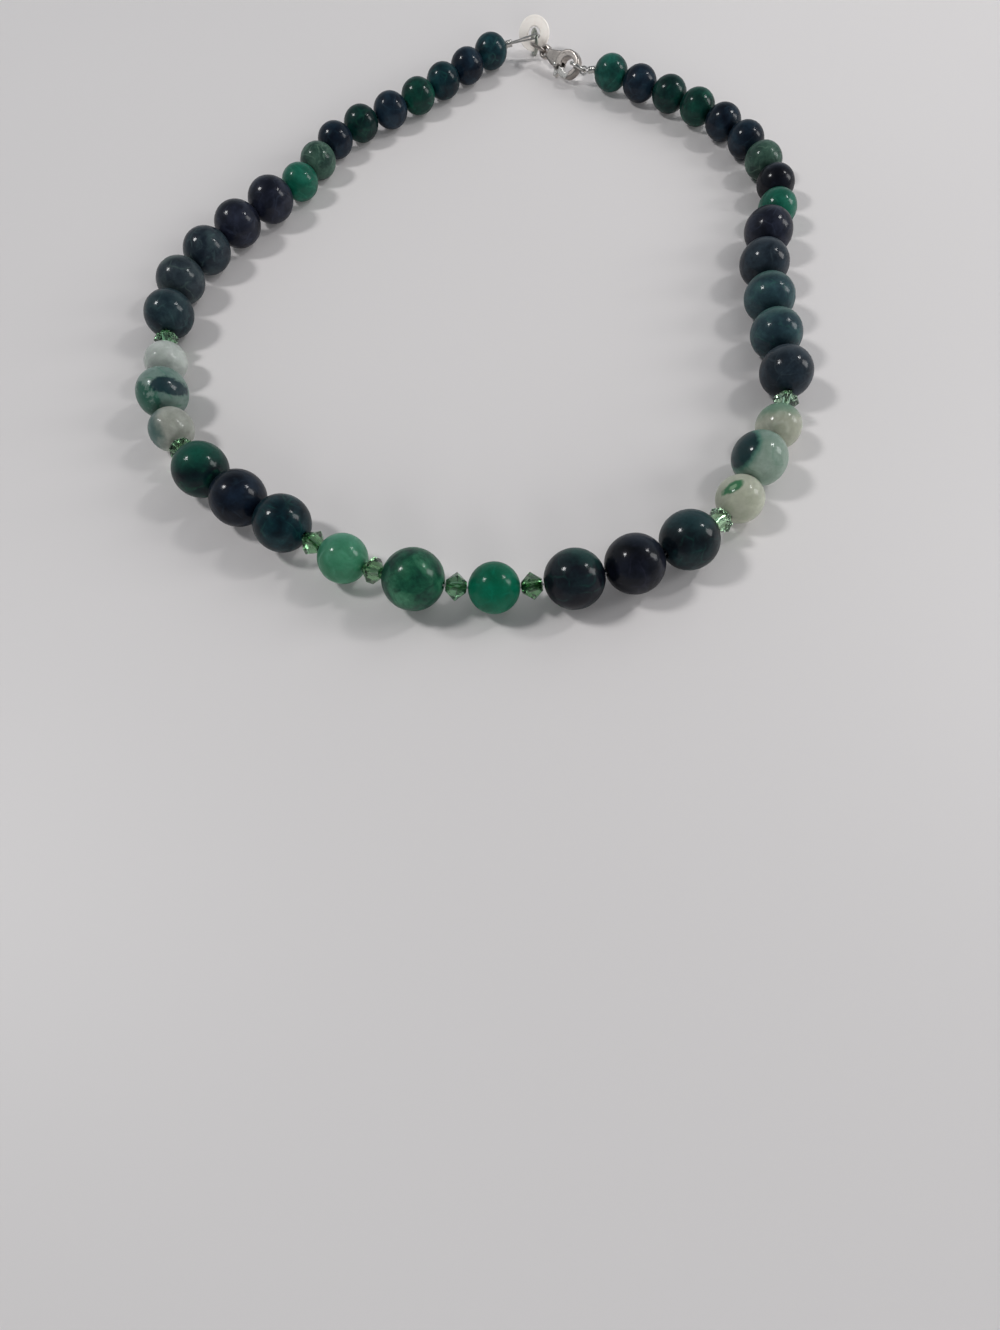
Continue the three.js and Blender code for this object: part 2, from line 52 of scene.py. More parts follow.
# The string from the clasp's left end round the front to its right end.
STRING = [
    # diameter, crystal after the last one, looks
    (8.0, False, ["teal_far", "navy", "teal_night", "pine", "navy", "pine_dark", "navy", "moss_grey", "emerald_soft"]),
    (9.8, True, ["haze_indigo", "haze_indigo", "slate", "slate_haze", "teal_haze"]),
    (8.2, False, ["milk_dim"]),
    (9.8, False, ["mist_left"]),
    (8.4, True, ["milk_grey"]),
    (10.2, True, ["pine_big", "night_blue", "teal_night"]),
    (8.7, True, ["mint"]),
    (10.6, True, ["moss"]),
    (8.7, True, ["emerald"]),
    (10.2, True, ["teal_top", "plum_night", "teal_sheen_top"]),
    (8.4, False, ["milk_spot"]),
    (9.8, False, ["mist_right"]),
    (8.2, True, ["milk"]),
    (9.8, False, ["haze_blue", "teal_side", "teal_side", "haze_blue", "haze_indigo"]),
    (8.0, False, ["emerald_soft", "plum_night", "moss_grey", "navy", "navy", "pine", "pine_dark", "navy", "pine_green"]),
]

ROUTE = [
    (-11.5, 78.5), (-27.0, 57.0), (-40.5, 42.0), (-45.5, 24.5), (-55.0, 7.5), (-61.5, -11.5),
    (-58.0, -30.0), (-52.0, -47.0), (-40.5, -59.5), (-21.5, -69.5), (-1.5, -77.0), (17.5, -76.5),
    (36.5, -70.5), (52.0, -58.0), (57.6, -44.0), (62.0, -29.5), (59.0, -10.5), (56.5, 10.5),
    (59.0, 29.5), (52.0, 47.0), (38.5, 60.5), (21.5, 70.0),
]

TAG = {"x": -1.77, "y": 85.85, "z": 4.65, "radius": 3.8, "hole_r": 1.38, "thickness": 0.55, "dome_r": 11.0,
       "face_azimuth": -81.0, "face_elevation": 28.0, "ring_offset": 0.75}
TAG_RING = {"wire_r": 0.4, "mean_r": 2.6, "turn": -11.6, "wire_hold": 62.0}
LINK_RING = {"wire_r": 0.4, "mean_r": 2.1, "x": 0.08, "y": 81.89, "z": 3.28}
END_RING = {"wire_r": 0.4, "mean_r": 1.9}
CLASP = {"azimuth": -38.0, "slope": -1.0, "roll": 50.0, "tail_gap": 0.2}
HELD = {"a": 9.05, "b": -0.6}
PIVOT = {"a": 4.8, "b": 1.3}


def unit(v):
    return v.normalized()


# ---------------------------------------------------------------- the string's layout
def centripetal(points, steps):
    """A centripetal Catmull-Rom line through the points, sampled evenly between each two."""
    p = [np.array(q, float) for q in points]
    line = []
    for i in range(len(p) - 1):
        a = p[i - 1] if i else 2 * p[0] - p[1]
        b, c = p[i], p[i + 1]
        d = p[i + 2] if i + 2 < len(p) else 2 * p[-1] - p[-2]
        d0, d1, d2 = (math.sqrt(np.linalg.norm(v)) for v in (a - b, b - c, c - d))
        t1 = ((b - a) / d0 - (c - a) / (d0 + d1) + (c - b) / d1) * d1
        t2 = ((c - b) / d1 - (d - b) / (d1 + d2) + (d - c) / d2) * d1
        for k in range(steps):
            t = k / steps
            line.append(b + t1 * t + (-3 * b + 3 * c - 2 * t1 - t2) * t * t
                        + (2 * b - 2 * c + t1 + t2) * t ** 3)
    line.append(p[-1])
    return line


beads = []
for diameter, crystal_after, looks in STRING:
    for k, look in enumerate(looks):
        beads.append({"r": diameter / 2, "look": look,
                      "crystal_after": crystal_after and k == len(looks) - 1})

line = centripetal(ROUTE, 14)
at, k = line[0], 0
beads[0]["c"] = Vector((at[0], at[1], beads[0]["r"]))
for one, two in zip(beads, beads[1:]):
    between = CRYSTAL["length"] + 2 * CRYSTAL["gap"] if one["crystal_after"] else BEAD_GAP
    reach = math.sqrt((one["r"] + two["r"] + between) ** 2 - (two["r"] - one["r"]) ** 2)
    while k < len(line) - 2 and np.linalg.norm(line[k + 1] - at) < reach:
        k += 1
    seg = line[k + 1] - line[k]
    w = line[k] - at
    aa, bb, cc = seg @ seg, w @ seg, w @ w - reach * reach
    at = line[k] + seg * ((-bb + math.sqrt(max(bb * bb - aa * cc, 0.0))) / aa)
    two["c"] = Vector((at[0], at[1], two["r"]))
for b in beads:
    b["c"] += Vector((SHIFT[0], SHIFT[1], 0))


# ---------------------------------------------------------------- places at the clasp
def rad(d):
    return math.radians(d)


UP = Vector((0, 0, 1))
tag_face = Vector((math.cos(rad(TAG["face_azimuth"])) * math.cos(rad(TAG["face_elevation"])),
                   math.sin(rad(TAG["face_azimuth"])) * math.cos(rad(TAG["face_elevation"])),
                   math.sin(rad(TAG["face_elevation"]))))
tag_centre = Vector((TAG["x"] + SHIFT[0], TAG["y"] + SHIFT[1], TAG["z"]))
tag_side = unit(UP.cross(tag_face))
tag_down = unit(-tag_side.cross(tag_face))
if tag_down.z > 0:
    tag_down = -tag_down
ring_out = Quaternion(tag_down, rad(TAG_RING["turn"])) @ tag_face
tag_ring_centre = tag_centre + tag_down * (TAG_RING["mean_r"] - TAG["ring_offset"])


def on_tag_ring(degrees):
    return (tag_ring_centre - tag_down * (TAG_RING["mean_r"] * math.cos(rad(degrees)))
            + ring_out * (TAG_RING["mean_r"] * math.sin(rad(degrees))))


def tag_ring_along(degrees):
    return unit(tag_down * math.sin(rad(degrees)) + ring_out * math.cos(rad(degrees)))


axis_a = Vector((math.cos(rad(CLASP["azimuth"])) * math.cos(rad(CLASP["slope"])),
                 math.sin(rad(CLASP["azimuth"])) * math.cos(rad(CLASP["slope"])),
                 math.sin(rad(CLASP["slope"]))))
level = unit(axis_a.cross(UP))
upright = unit(level.cross(axis_a))
axis_b = level * math.cos(rad(CLASP["roll"])) - upright * math.sin(rad(CLASP["roll"]))
axis_c = axis_a.cross(axis_b)
link_centre = Vector((LINK_RING["x"] + SHIFT[0], LINK_RING["y"] + SHIFT[1], LINK_RING["z"]))
tail = link_centre + axis_a * (LINK_RING["mean_r"] + CLASP["tail_gap"])


def in_clasp(a, b, c=0.0):
    return tail + axis_a * a + axis_b * b + axis_c * c


end_ring_centre = in_clasp(HELD["a"] + END_RING["mean_r"], HELD["b"])
left_hold, left_along = on_tag_ring(TAG_RING["wire_hold"]), tag_ring_along(TAG_RING["wire_hold"])
right_hold, right_along = in_clasp(HELD["a"] + 2 * END_RING["mean_r"], HELD["b"]), axis_c.copy()

# ---------------------------------------------------------------- bores and wire
for i, b in enumerate(beads):
    before = beads[i - 1]["c"] if i else left_hold
    after = beads[i + 1]["c"] if i + 1 < len(beads) else right_hold
    way = unit(unit(b["c"] - before) + unit(after - b["c"]))
    b["in"], b["out"] = b["c"] - way * b["r"], b["c"] + way * b["r"]
for one, two in zip(beads, beads[1:]):
    if not one["crystal_after"]:
        joint = (one["out"] + two["in"]) / 2
        one["out"], two["in"] = joint.copy(), joint.copy()


def off_line(b):
    along = unit(b["out"] - b["in"])
    lead = b["c"] - b["in"]
    return lead - along * lead.dot(along)


for _ in range(WIRE_PASSES):
    off = [off_line(b) for b in beads]
    for i in range(len(beads) - 1):
        if not beads[i]["crystal_after"]:
            beads[i]["out"] += (off[i] + off[i + 1]) * 0.5
            beads[i + 1]["in"] = beads[i]["out"].copy()
for b in beads:
    b["way"] = unit(b["out"] - b["in"])


def end_loop(start, hold, along):
    way = unit(hold - start)
    side = unit(along.cross(way))
    inner, outer = CRIMP["start"], CRIMP["start"] + CRIMP["length"]

    def spot(run, offset):
        return start + way * run + side * offset

    skew = math.sqrt(1 - way.dot(along) ** 2)
    pts = [spot(inner, CRIMP["pair"]), spot(outer, CRIMP["pair"])]
    turns = 14
    for k in range(turns + 1):
        angle = math.pi * k / turns
        pts.append(hold + side * (LOOP_R * math.cos(angle)) + way * (LOOP_R / skew * math.sin(angle)))
    pts += [spot(outer, -CRIMP["pair"]), spot(inner, -CRIMP["pair"])]
    return {"points": pts, "crimp": spot(inner + CRIMP["length"] / 2, 0), "way": way, "side": side}


left_end = end_loop(beads[0]["in"], left_hold, left_along)
right_end = end_loop(beads[-1]["out"], right_hold, right_along)
wire_points = list(left_end["points"]) + [beads[0]["in"]]
for i, b in enumerate(beads):
    wire_points.append(b["out"])
    if b["crystal_after"]:
        wire_points.append(beads[i + 1]["in"])
wire_points += list(reversed(right_end["points"]))


# ---------------------------------------------------------------- mesh helpers
def basis(z_axis, x_hint=None):
    z = unit(Vector(z_axis))
    hint = Vector(x_hint) if x_hint is not None else (Vector((0, 0, 1)) if abs(z.z) < 0.9 else Vector((1, 0, 0)))
    x = unit(hint - z * hint.dot(z))
    y = z.cross(x)
    return Matrix((x, y, z)).transposed()


def add_object(name, verts, faces, origin, smooth=True, sharp_deg=None):
    """An object at origin; verts are in millimetres, already turned to the part's axes, measured from origin."""
    me = bpy.data.meshes.new(name)
    me.from_pydata([tuple(v * MM for v in p) for p in verts], [], faces)
    me.validate()
    if smooth:
        me.polygons.foreach_set("use_smooth", [True] * len(me.polygons))
    if sharp_deg is not None:
        me.set_sharp_from_angle(angle=math.radians(sharp_deg))
    me.update()
    o = bpy.data.objects.new(name, me)
    bpy.context.scene.collection.objects.link(o)
    o.location = Vector(origin) * MM
    return o


def ring_faces(rows, sides, closed_rows=True):
    """Quads between rows of points, each row a closed ring of points."""
    faces = []
    for j in range(rows if closed_rows else rows - 1):
        j2 = (j + 1) % rows
        for i in range(sides):
            i2 = (i + 1) % sides
            faces.append((j * sides + i, j * sides + i2, j2 * sides + i2, j2 * sides + i))
    return faces


def lathe(profile, sides, turn, wobble=None):
    """Turns a closed profile of (radius, height), anticlockwise seen with height up, about local z."""
    verts = []
    for r, z in profile:
        for i in range(sides):
            a = 2 * math.pi * i / sides
            p = Vector((r * math.cos(a), r * math.sin(a), z))
            verts.append(turn @ p)
    return verts, ring_faces(len(profile), sides)


# ---------------------------------------------------------------- node helpers
class Tree:
    def __init__(self, tree):
        self.t = tree
        self.t.nodes.clear()
        self.x = 0

    def add(self, kind, inputs=None, **props):
        n = self.t.nodes.new(kind)
        n.location = (self.x, 0)
        self.x += 60
        for key, value in props.items():
            setattr(n, key, value)
        for key, value in (inputs or {}).items():
            if isinstance(value, bpy.types.NodeSocket):
                self.t.links.new(value, n.inputs[key])
            else:
                n.inputs[key].default_value = value
        return n

    def math(self, op, a, b=0.5, c=None, clamp=False):
        n = self.add("ShaderNodeMath", operation=op, use_clamp=clamp)
        for i, v in enumerate((a, b) if c is None else (a, b, c)):
            if isinstance(v, bpy.types.NodeSocket):
                self.t.links.new(v, n.inputs[i])
            else:
                n.inputs[i].default_value = v
        return n.outputs[0]

    def vec(self, op, a, b=None, scale=None):
        n = self.add("ShaderNodeVectorMath", operation=op)
        for i, v in enumerate((a, b)):
            if v is None:
                continue
            if isinstance(v, bpy.types.NodeSocket):
                self.t.links.new(v, n.inputs[i])
            else:
                n.inputs[i].default_value = v
        if scale is not None:
            if isinstance(scale, bpy.types.NodeSocket):
                self.t.links.new(scale, n.inputs["Scale"])
            else:
                n.inputs["Scale"].default_value = scale
        return n.outputs["Value"] if op == "DOT_PRODUCT" else n.outputs[0]

    def noise(self, where, scale, detail=3.0, rough=0.5, distortion=0.0):
        return self.add("ShaderNodeTexNoise", {"Vector": where, "Scale": scale, "Detail": detail,
                                                 "Roughness": rough, "Distortion": distortion})

    def ramp(self, fac, stops, mode="LINEAR"):
        n = self.add("ShaderNodeValToRGB", {"Fac": fac})
        n.color_ramp.interpolation = mode
        e = n.color_ramp.elements
        while len(e) > 1:
            e.remove(e[-1])
        e[0].position, e[0].color = stops[0][0], tuple(stops[0][1]) + (1.0,)
        for pos, colour in stops[1:]:
            k = e.new(pos)
            k.color = tuple(colour) + (1.0,)
        return n.outputs["Color"]

    def mix(self, fac, a, b, blend="MIX"):
        n = self.add("ShaderNodeMix", data_type="RGBA", blend_type=blend)
        for key, v in (("Factor", fac), ("A", a), ("B", b)):
            sock = [s for s in n.inputs if s.name == key and s.enabled][0]
            if isinstance(v, bpy.types.NodeSocket):
                self.t.links.new(v, sock)
            else:
                sock.default_value = tuple(v) + (1.0,) if key != "Factor" else v
        return [s for s in n.outputs if s.enabled][0]

    def span(self, value, lo, hi, to_lo=0.0, to_hi=1.0, smooth=False):
        n = self.add("ShaderNodeMapRange", {"Value": value, "From Min": lo, "From Max": hi,
                                              "To Min": to_lo, "To Max": to_hi},
                     interpolation_type="SMOOTHSTEP" if smooth else "LINEAR", clamp=True)
        return n.outputs["Result"]


def new_material(name):
    m = bpy.data.materials.new(name)
    m.use_nodes = True
    return m, Tree(m.node_tree)


def principled(t, **inputs):
    shader = t.add("ShaderNodeBsdfPrincipled", {k.replace("_", " "): v for k, v in inputs.items()})
    out = t.add("ShaderNodeOutputMaterial")
    t.t.links.new(shader.outputs["BSDF"], out.inputs["Surface"])
    return shader


# ---------------------------------------------------------------- camera
# The photograph's view, worked back from the beads' outlines: focal length in pixels of a 1000 x 1330 frame.
CAMERA = {"focal_px": 914.15, "pitch": 61.574, "roll": -6.323, "yaw": 15.076, "x": 36.88, "y": -159.46, "z": 130.48}


def camera_axes():
    p, y, r = rad(CAMERA["pitch"]), rad(CAMERA["yaw"]), rad(CAMERA["roll"])
    spin = Matrix.Rotation(y, 3, "Z")
    ahead = spin @ Vector((0, math.cos(p), -math.sin(p)))
    up = spin @ Vector((0, math.sin(p), math.cos(p)))
    right = spin @ Vector((1, 0, 0))
    return ahead, up * math.cos(r) - right * math.sin(r), right * math.cos(r) + up * math.sin(r)


ahead, cam_up, cam_right = camera_axes()
cam_data = bpy.data.cameras.new("camera")
cam_data.sensor_width = 36.0
cam_data.lens = CAMERA["focal_px"] / 1330.0 * 36.0
cam_data.clip_start, cam_data.clip_end = 0.005, 20.0
cam = bpy.data.objects.new("camera", cam_data)
bpy.context.scene.collection.objects.link(cam)
turn = Matrix((cam_right, cam_up, -ahead)).transposed().to_4x4()
cam.matrix_world = Matrix.Translation(Vector((CAMERA["x"], CAMERA["y"], CAMERA["z"])) * MM) @ turn
bpy.context.scene.camera = cam

# ---------------------------------------------------------------- stone looks
# stops: position and colour of the cloudy layers; vein: colour, amount, cells per mm; soft: light under the
# surface; top_sheen_and_tint: a painted top, lighter as painted sheen of the room's light on the dark and mint stones,
# a darker green top on the pale ones; patch: where a dark or green patch sits; both as right, up and toward the front
# view; rim: the patch's edge; blot: an oval spot by its middle, half sizes and tilt in the front view; eye: the
# spot's lighter middle; ragged: how torn an outline is; slot: the record's finish.
LOOKS = {
    "navy": {"stops": [(0.30, (0.001, 0.002, 0.006)), (0.50, (0.004, 0.009, 0.018)), (0.68, (0.011, 0.026, 0.042))],
             "vein": ((0.02, 0.05, 0.07), 0.25, 0.30), "slot": "dark_stone"},
    "night_blue": {"stops": [(0.30, (0.001, 0.002, 0.005)), (0.52, (0.003, 0.006, 0.013)), (0.70, (0.009, 0.018, 0.034))],
                   "vein": ((0.02, 0.04, 0.06), 0.25, 0.28), "slot": "dark_stone"},
    "haze_indigo": {"stops": [(0.30, (0.003, 0.004, 0.008)), (0.52, (0.009, 0.011, 0.021)), (0.70, (0.023, 0.027, 0.045))],
                    "vein": ((0.04, 0.05, 0.08), 0.3, 0.28), "slot": "dark_stone"},
    "haze_blue": {"stops": [(0.30, (0.004, 0.008, 0.013)), (0.52, (0.013, 0.021, 0.031)), (0.70, (0.028, 0.044, 0.058))],
                  "top_sheen_and_tint": ((0.042, 0.056, 0.070), (0.0, 1.0, 0.1), 0.25, 0.95, 0.8),
                  "vein": ((0.05, 0.07, 0.08), 0.3, 0.28), "slot": "dark_stone"},
    "plum_night": {"stops": [(0.30, (0.001, 0.0015, 0.003)), (0.52, (0.003, 0.004, 0.008)), (0.70, (0.010, 0.012, 0.022))],
                   "top_sheen_and_tint": ((0.012, 0.018, 0.030), (0.1, 1.0, 0.2), 0.35, 1.0, 0.8),
                   "vein": ((0.03, 0.03, 0.05), 0.25, 0.28), "slot": "dark_stone"},
    "teal_far": {"stops": [(0.28, (0.002, 0.006, 0.010)), (0.50, (0.004, 0.019, 0.027)), (0.70, (0.012, 0.058, 0.068))],
                 "vein": ((0.02, 0.09, 0.08), 0.35, 0.28), "slot": "dark_stone"},
    "teal_night": {"stops": [(0.28, (0.001, 0.003, 0.006)), (0.50, (0.002, 0.013, 0.020)), (0.70, (0.008, 0.045, 0.052))],
                   "vein": ((0.01, 0.07, 0.06), 0.35, 0.28), "slot": "dark_stone"},
    "teal_top": {"stops": [(0.30, (0.002, 0.002, 0.005)), (0.50, (0.005, 0.007, 0.012)), (0.68, (0.009, 0.020, 0.024))],
                 "top_sheen_and_tint": ((0.010, 0.060, 0.050), (0.30, 1.0, 0.20), 0.45, 1.05, 0.8),
                 "vein": ((0.01, 0.06, 0.05), 0.3, 0.26), "slot": "deep_green_stone"},
    "teal_sheen_top": {"stops": [(0.30, (0.002, 0.003, 0.005)), (0.50, (0.005, 0.010, 0.014)), (0.68, (0.010, 0.030, 0.032))],
                   "top_sheen_and_tint": ((0.016, 0.046, 0.052), (-0.2, 1.0, 0.35), 0.20, 0.95, 0.75),
                   "vein": ((0.01, 0.06, 0.05), 0.3, 0.26), "slot": "dark_stone"},
    "teal_side": {"stops": [(0.30, (0.009, 0.022, 0.032)), (0.52, (0.022, 0.050, 0.064)), (0.70, (0.038, 0.096, 0.098))],
                  "top_sheen_and_tint": ((0.060, 0.130, 0.115), (0.0, 1.0, 0.0), 0.25, 0.9, 0.8),
                  "vein": ((0.03, 0.11, 0.09), 0.35, 0.28), "slot": "grey_green_stone"},
    "slate_haze": {"stops": [(0.30, (0.007, 0.012, 0.018)), (0.50, (0.021, 0.031, 0.041)), (0.68, (0.048, 0.068, 0.072))],
                   "top_sheen_and_tint": ((0.060, 0.088, 0.078), (-0.3, 1.0, 0.1), 0.35, 1.0, 0.7),
                   "vein": ((0.07, 0.11, 0.10), 0.4, 0.30), "slot": "grey_green_stone"},
    "teal_haze": {"stops": [(0.30, (0.004, 0.009, 0.014)), (0.50, (0.010, 0.022, 0.031)), (0.70, (0.028, 0.052, 0.058))],
                  "vein": ((0.04, 0.09, 0.09), 0.35, 0.28), "slot": "dark_stone"},
    "slate": {"stops": [(0.30, (0.004, 0.008, 0.014)), (0.50, (0.014, 0.022, 0.032)), (0.68, (0.036, 0.058, 0.064))],
              "vein": ((0.06, 0.10, 0.10), 0.4, 0.30), "slot": "grey_green_stone"},
    "pine": {"stops": [(0.28, (0.001, 0.012, 0.010)), (0.50, (0.003, 0.034, 0.026)), (0.70, (0.008, 0.078, 0.050))],
             "vein": ((0.01, 0.10, 0.06), 0.35, 0.28), "soft": 0.05, "slot": "deep_green_stone"},
    "pine_dark": {"stops": [(0.30, (0.001, 0.006, 0.007)), (0.52, (0.002, 0.018, 0.017)), (0.70, (0.005, 0.045, 0.034))],
                  "vein": ((0.01, 0.07, 0.04), 0.3, 0.28), "slot": "deep_green_stone"},
    "pine_green": {"stops": [(0.28, (0.003, 0.022, 0.020)), (0.50, (0.007, 0.060, 0.048)), (0.70, (0.014, 0.115, 0.085))],
                   "vein": ((0.02, 0.13, 0.09), 0.3, 0.26), "soft": 0.05, "slot": "deep_green_stone"},
    "pine_big": {"stops": [(0.26, (0.001, 0.003, 0.006)), (0.48, (0.002, 0.010, 0.013)), (0.70, (0.004, 0.036, 0.028))],
                 "top_sheen_and_tint": ((0.005, 0.066, 0.044), (-0.15, 0.95, 0.45), 0.02, 0.80, 0.92),
                 "vein": ((0.01, 0.09, 0.05), 0.35, 0.24), "slot": "deep_green_stone"},
    "moss_grey": {"stops": [(0.26, (0.008, 0.022, 0.020)), (0.48, (0.026, 0.064, 0.048)), (0.68, (0.070, 0.135, 0.100))],
                  "vein": ((0.11, 0.19, 0.14), 0.5, 0.34), "soft": 0.08, "mottle": 0.22, "slot": "mottled_stone"},
    "moss": {"stops": [(0.30, (0.002, 0.020, 0.015)), (0.42, (0.006, 0.058, 0.034)), (0.55, (0.012, 0.098, 0.050)),
                       (0.72, (0.06, 0.21, 0.12))],
             "vein": ((0.002, 0.018, 0.016), 0.55, 0.20), "soft": 0.10, "mottle": 0.18, "gloss": 0.21, "slot": "mottled_stone"},
    "emerald": {"stops": [(0.26, (0.0005, 0.072, 0.037)), (0.52, (0.0005, 0.110, 0.058)), (0.74, (0.003, 0.155, 0.086))],
                "vein": ((0.002, 0.20, 0.12), 0.25, 0.24), "soft": 0.18, "mottle": 0.10, "gloss": 0.18, "slot": "emerald_stone"},
    "emerald_soft": {"stops": [(0.26, (0.002, 0.062, 0.038)), (0.52, (0.004, 0.094, 0.060)), (0.74, (0.02, 0.150, 0.100))],
                     "vein": ((0.02, 0.20, 0.12), 0.3, 0.30), "soft": 0.15, "mottle": 0.12, "gloss": 0.23, "slot": "emerald_stone"},
    "mint": {"stops": [(0.26, (0.022, 0.130, 0.064)), (0.52, (0.036, 0.180, 0.097)), (0.76, (0.08, 0.280, 0.170))],
             "top_sheen_and_tint": ((0.060, 0.235, 0.150), (0.0, 1.0, 0.1), 0.10, 1.0, 0.8),
             "vein": ((0.16, 0.42, 0.30), 0.2, 0.18), "soft": 0.35, "mottle": 0.07, "gloss": 0.25, "slot": "milky_green_stone"},
    "milk": {"stops": [(0.26, (0.27, 0.29, 0.23)), (0.52, (0.37, 0.38, 0.30)), (0.76, (0.50, 0.50, 0.42))],
             "top_sheen_and_tint": ((0.08, 0.20, 0.13), (-0.1, 1.0, 0.1), 0.20, 0.90, 0.85),
             "vein": ((0.68, 0.70, 0.62), 0.25, 0.20), "soft": 0.7, "clear": 0.08, "mottle": 0.06, "gloss": 0.25, "slot": "pale_stone"},
    "milk_dim": {"stops": [(0.26, (0.32, 0.36, 0.33)), (0.52, (0.45, 0.48, 0.45)), (0.76, (0.57, 0.60, 0.57))],
                 "vein": ((0.70, 0.74, 0.70), 0.25, 0.20), "soft": 0.7, "clear": 0.08, "mottle": 0.06, "gloss": 0.25, "slot": "pale_stone"},
    "milk_grey": {"stops": [(0.26, (0.22, 0.23, 0.20)), (0.52, (0.33, 0.34, 0.30)), (0.76, (0.46, 0.47, 0.42))],
                  "patch": ((0.055, 0.115, 0.105), (-0.9, -0.15, 0.40), 0.58, 0.50, 0.20), "ragged": 0.25,
                  "vein": ((0.60, 0.64, 0.58), 0.25, 0.20), "soft": 0.6, "clear": 0.08, "mottle": 0.07, "gloss": 0.25, "slot": "pale_stone"},
    "milk_spot": {"stops": [(0.26, (0.31, 0.33, 0.26)), (0.52, (0.42, 0.43, 0.34)), (0.76, (0.53, 0.54, 0.45))],
                  "blot": ((0.03, 0.17, 0.07), (-0.46, 0.33), (0.44, 0.20), 0.63, 0.24), "ragged": 0.9,
                  "eye": ((0.26, 0.42, 0.26), 0.62),
                  "vein": ((0.64, 0.66, 0.54), 0.2, 0.18), "soft": 0.7, "clear": 0.08, "mottle": 0.06, "gloss": 0.25, "slot": "pale_stone"},
    "mist_left": {"stops": [(0.26, (0.07, 0.14, 0.12)), (0.50, (0.14, 0.22, 0.19)), (0.74, (0.25, 0.33, 0.29))],
                  "blot": ((0.005, 0.024, 0.034), (0.48, 0.06), (0.54, 0.35), -0.08, 0.18), "ragged": 1.0,
                  "patch": ((0.02, 0.095, 0.065), (-0.62, -0.45, 0.64), 0.78, 0.22, 0.15),
                  "vein": ((0.02, 0.16, 0.09), 0.5, 0.24), "soft": 0.4, "clear": 0.05, "mottle": 0.10, "gloss": 0.25, "slot": "cloudy_stone"},
    "mist_right": {"stops": [(0.26, (0.16, 0.24, 0.19)), (0.52, (0.235, 0.31, 0.255)), (0.76, (0.34, 0.41, 0.36))],
                   "top_sheen_and_tint": ((0.08, 0.17, 0.14), (0.0, 1.0, 0.1), 0.40, 1.0, 0.6),
                   "patch": ((0.003, 0.024, 0.030), (-0.88, 0.30, 0.38), 0.72, 0.12, 0.06), "rim": (0.03, 0.15, 0.11),
                   "ragged": 0.12,
                   "vein": ((0.03, 0.16, 0.10), 0.3, 0.22), "soft": 0.4, "clear": 0.05, "mottle": 0.07, "gloss": 0.25, "slot": "cloudy_stone"},
}


def from_front(way):
    """A fixed direction in the part's frame, given as right, up and toward the front view."""
    return tuple((cam_right * way[0] + cam_up * way[1] - ahead * way[2]).normalized())


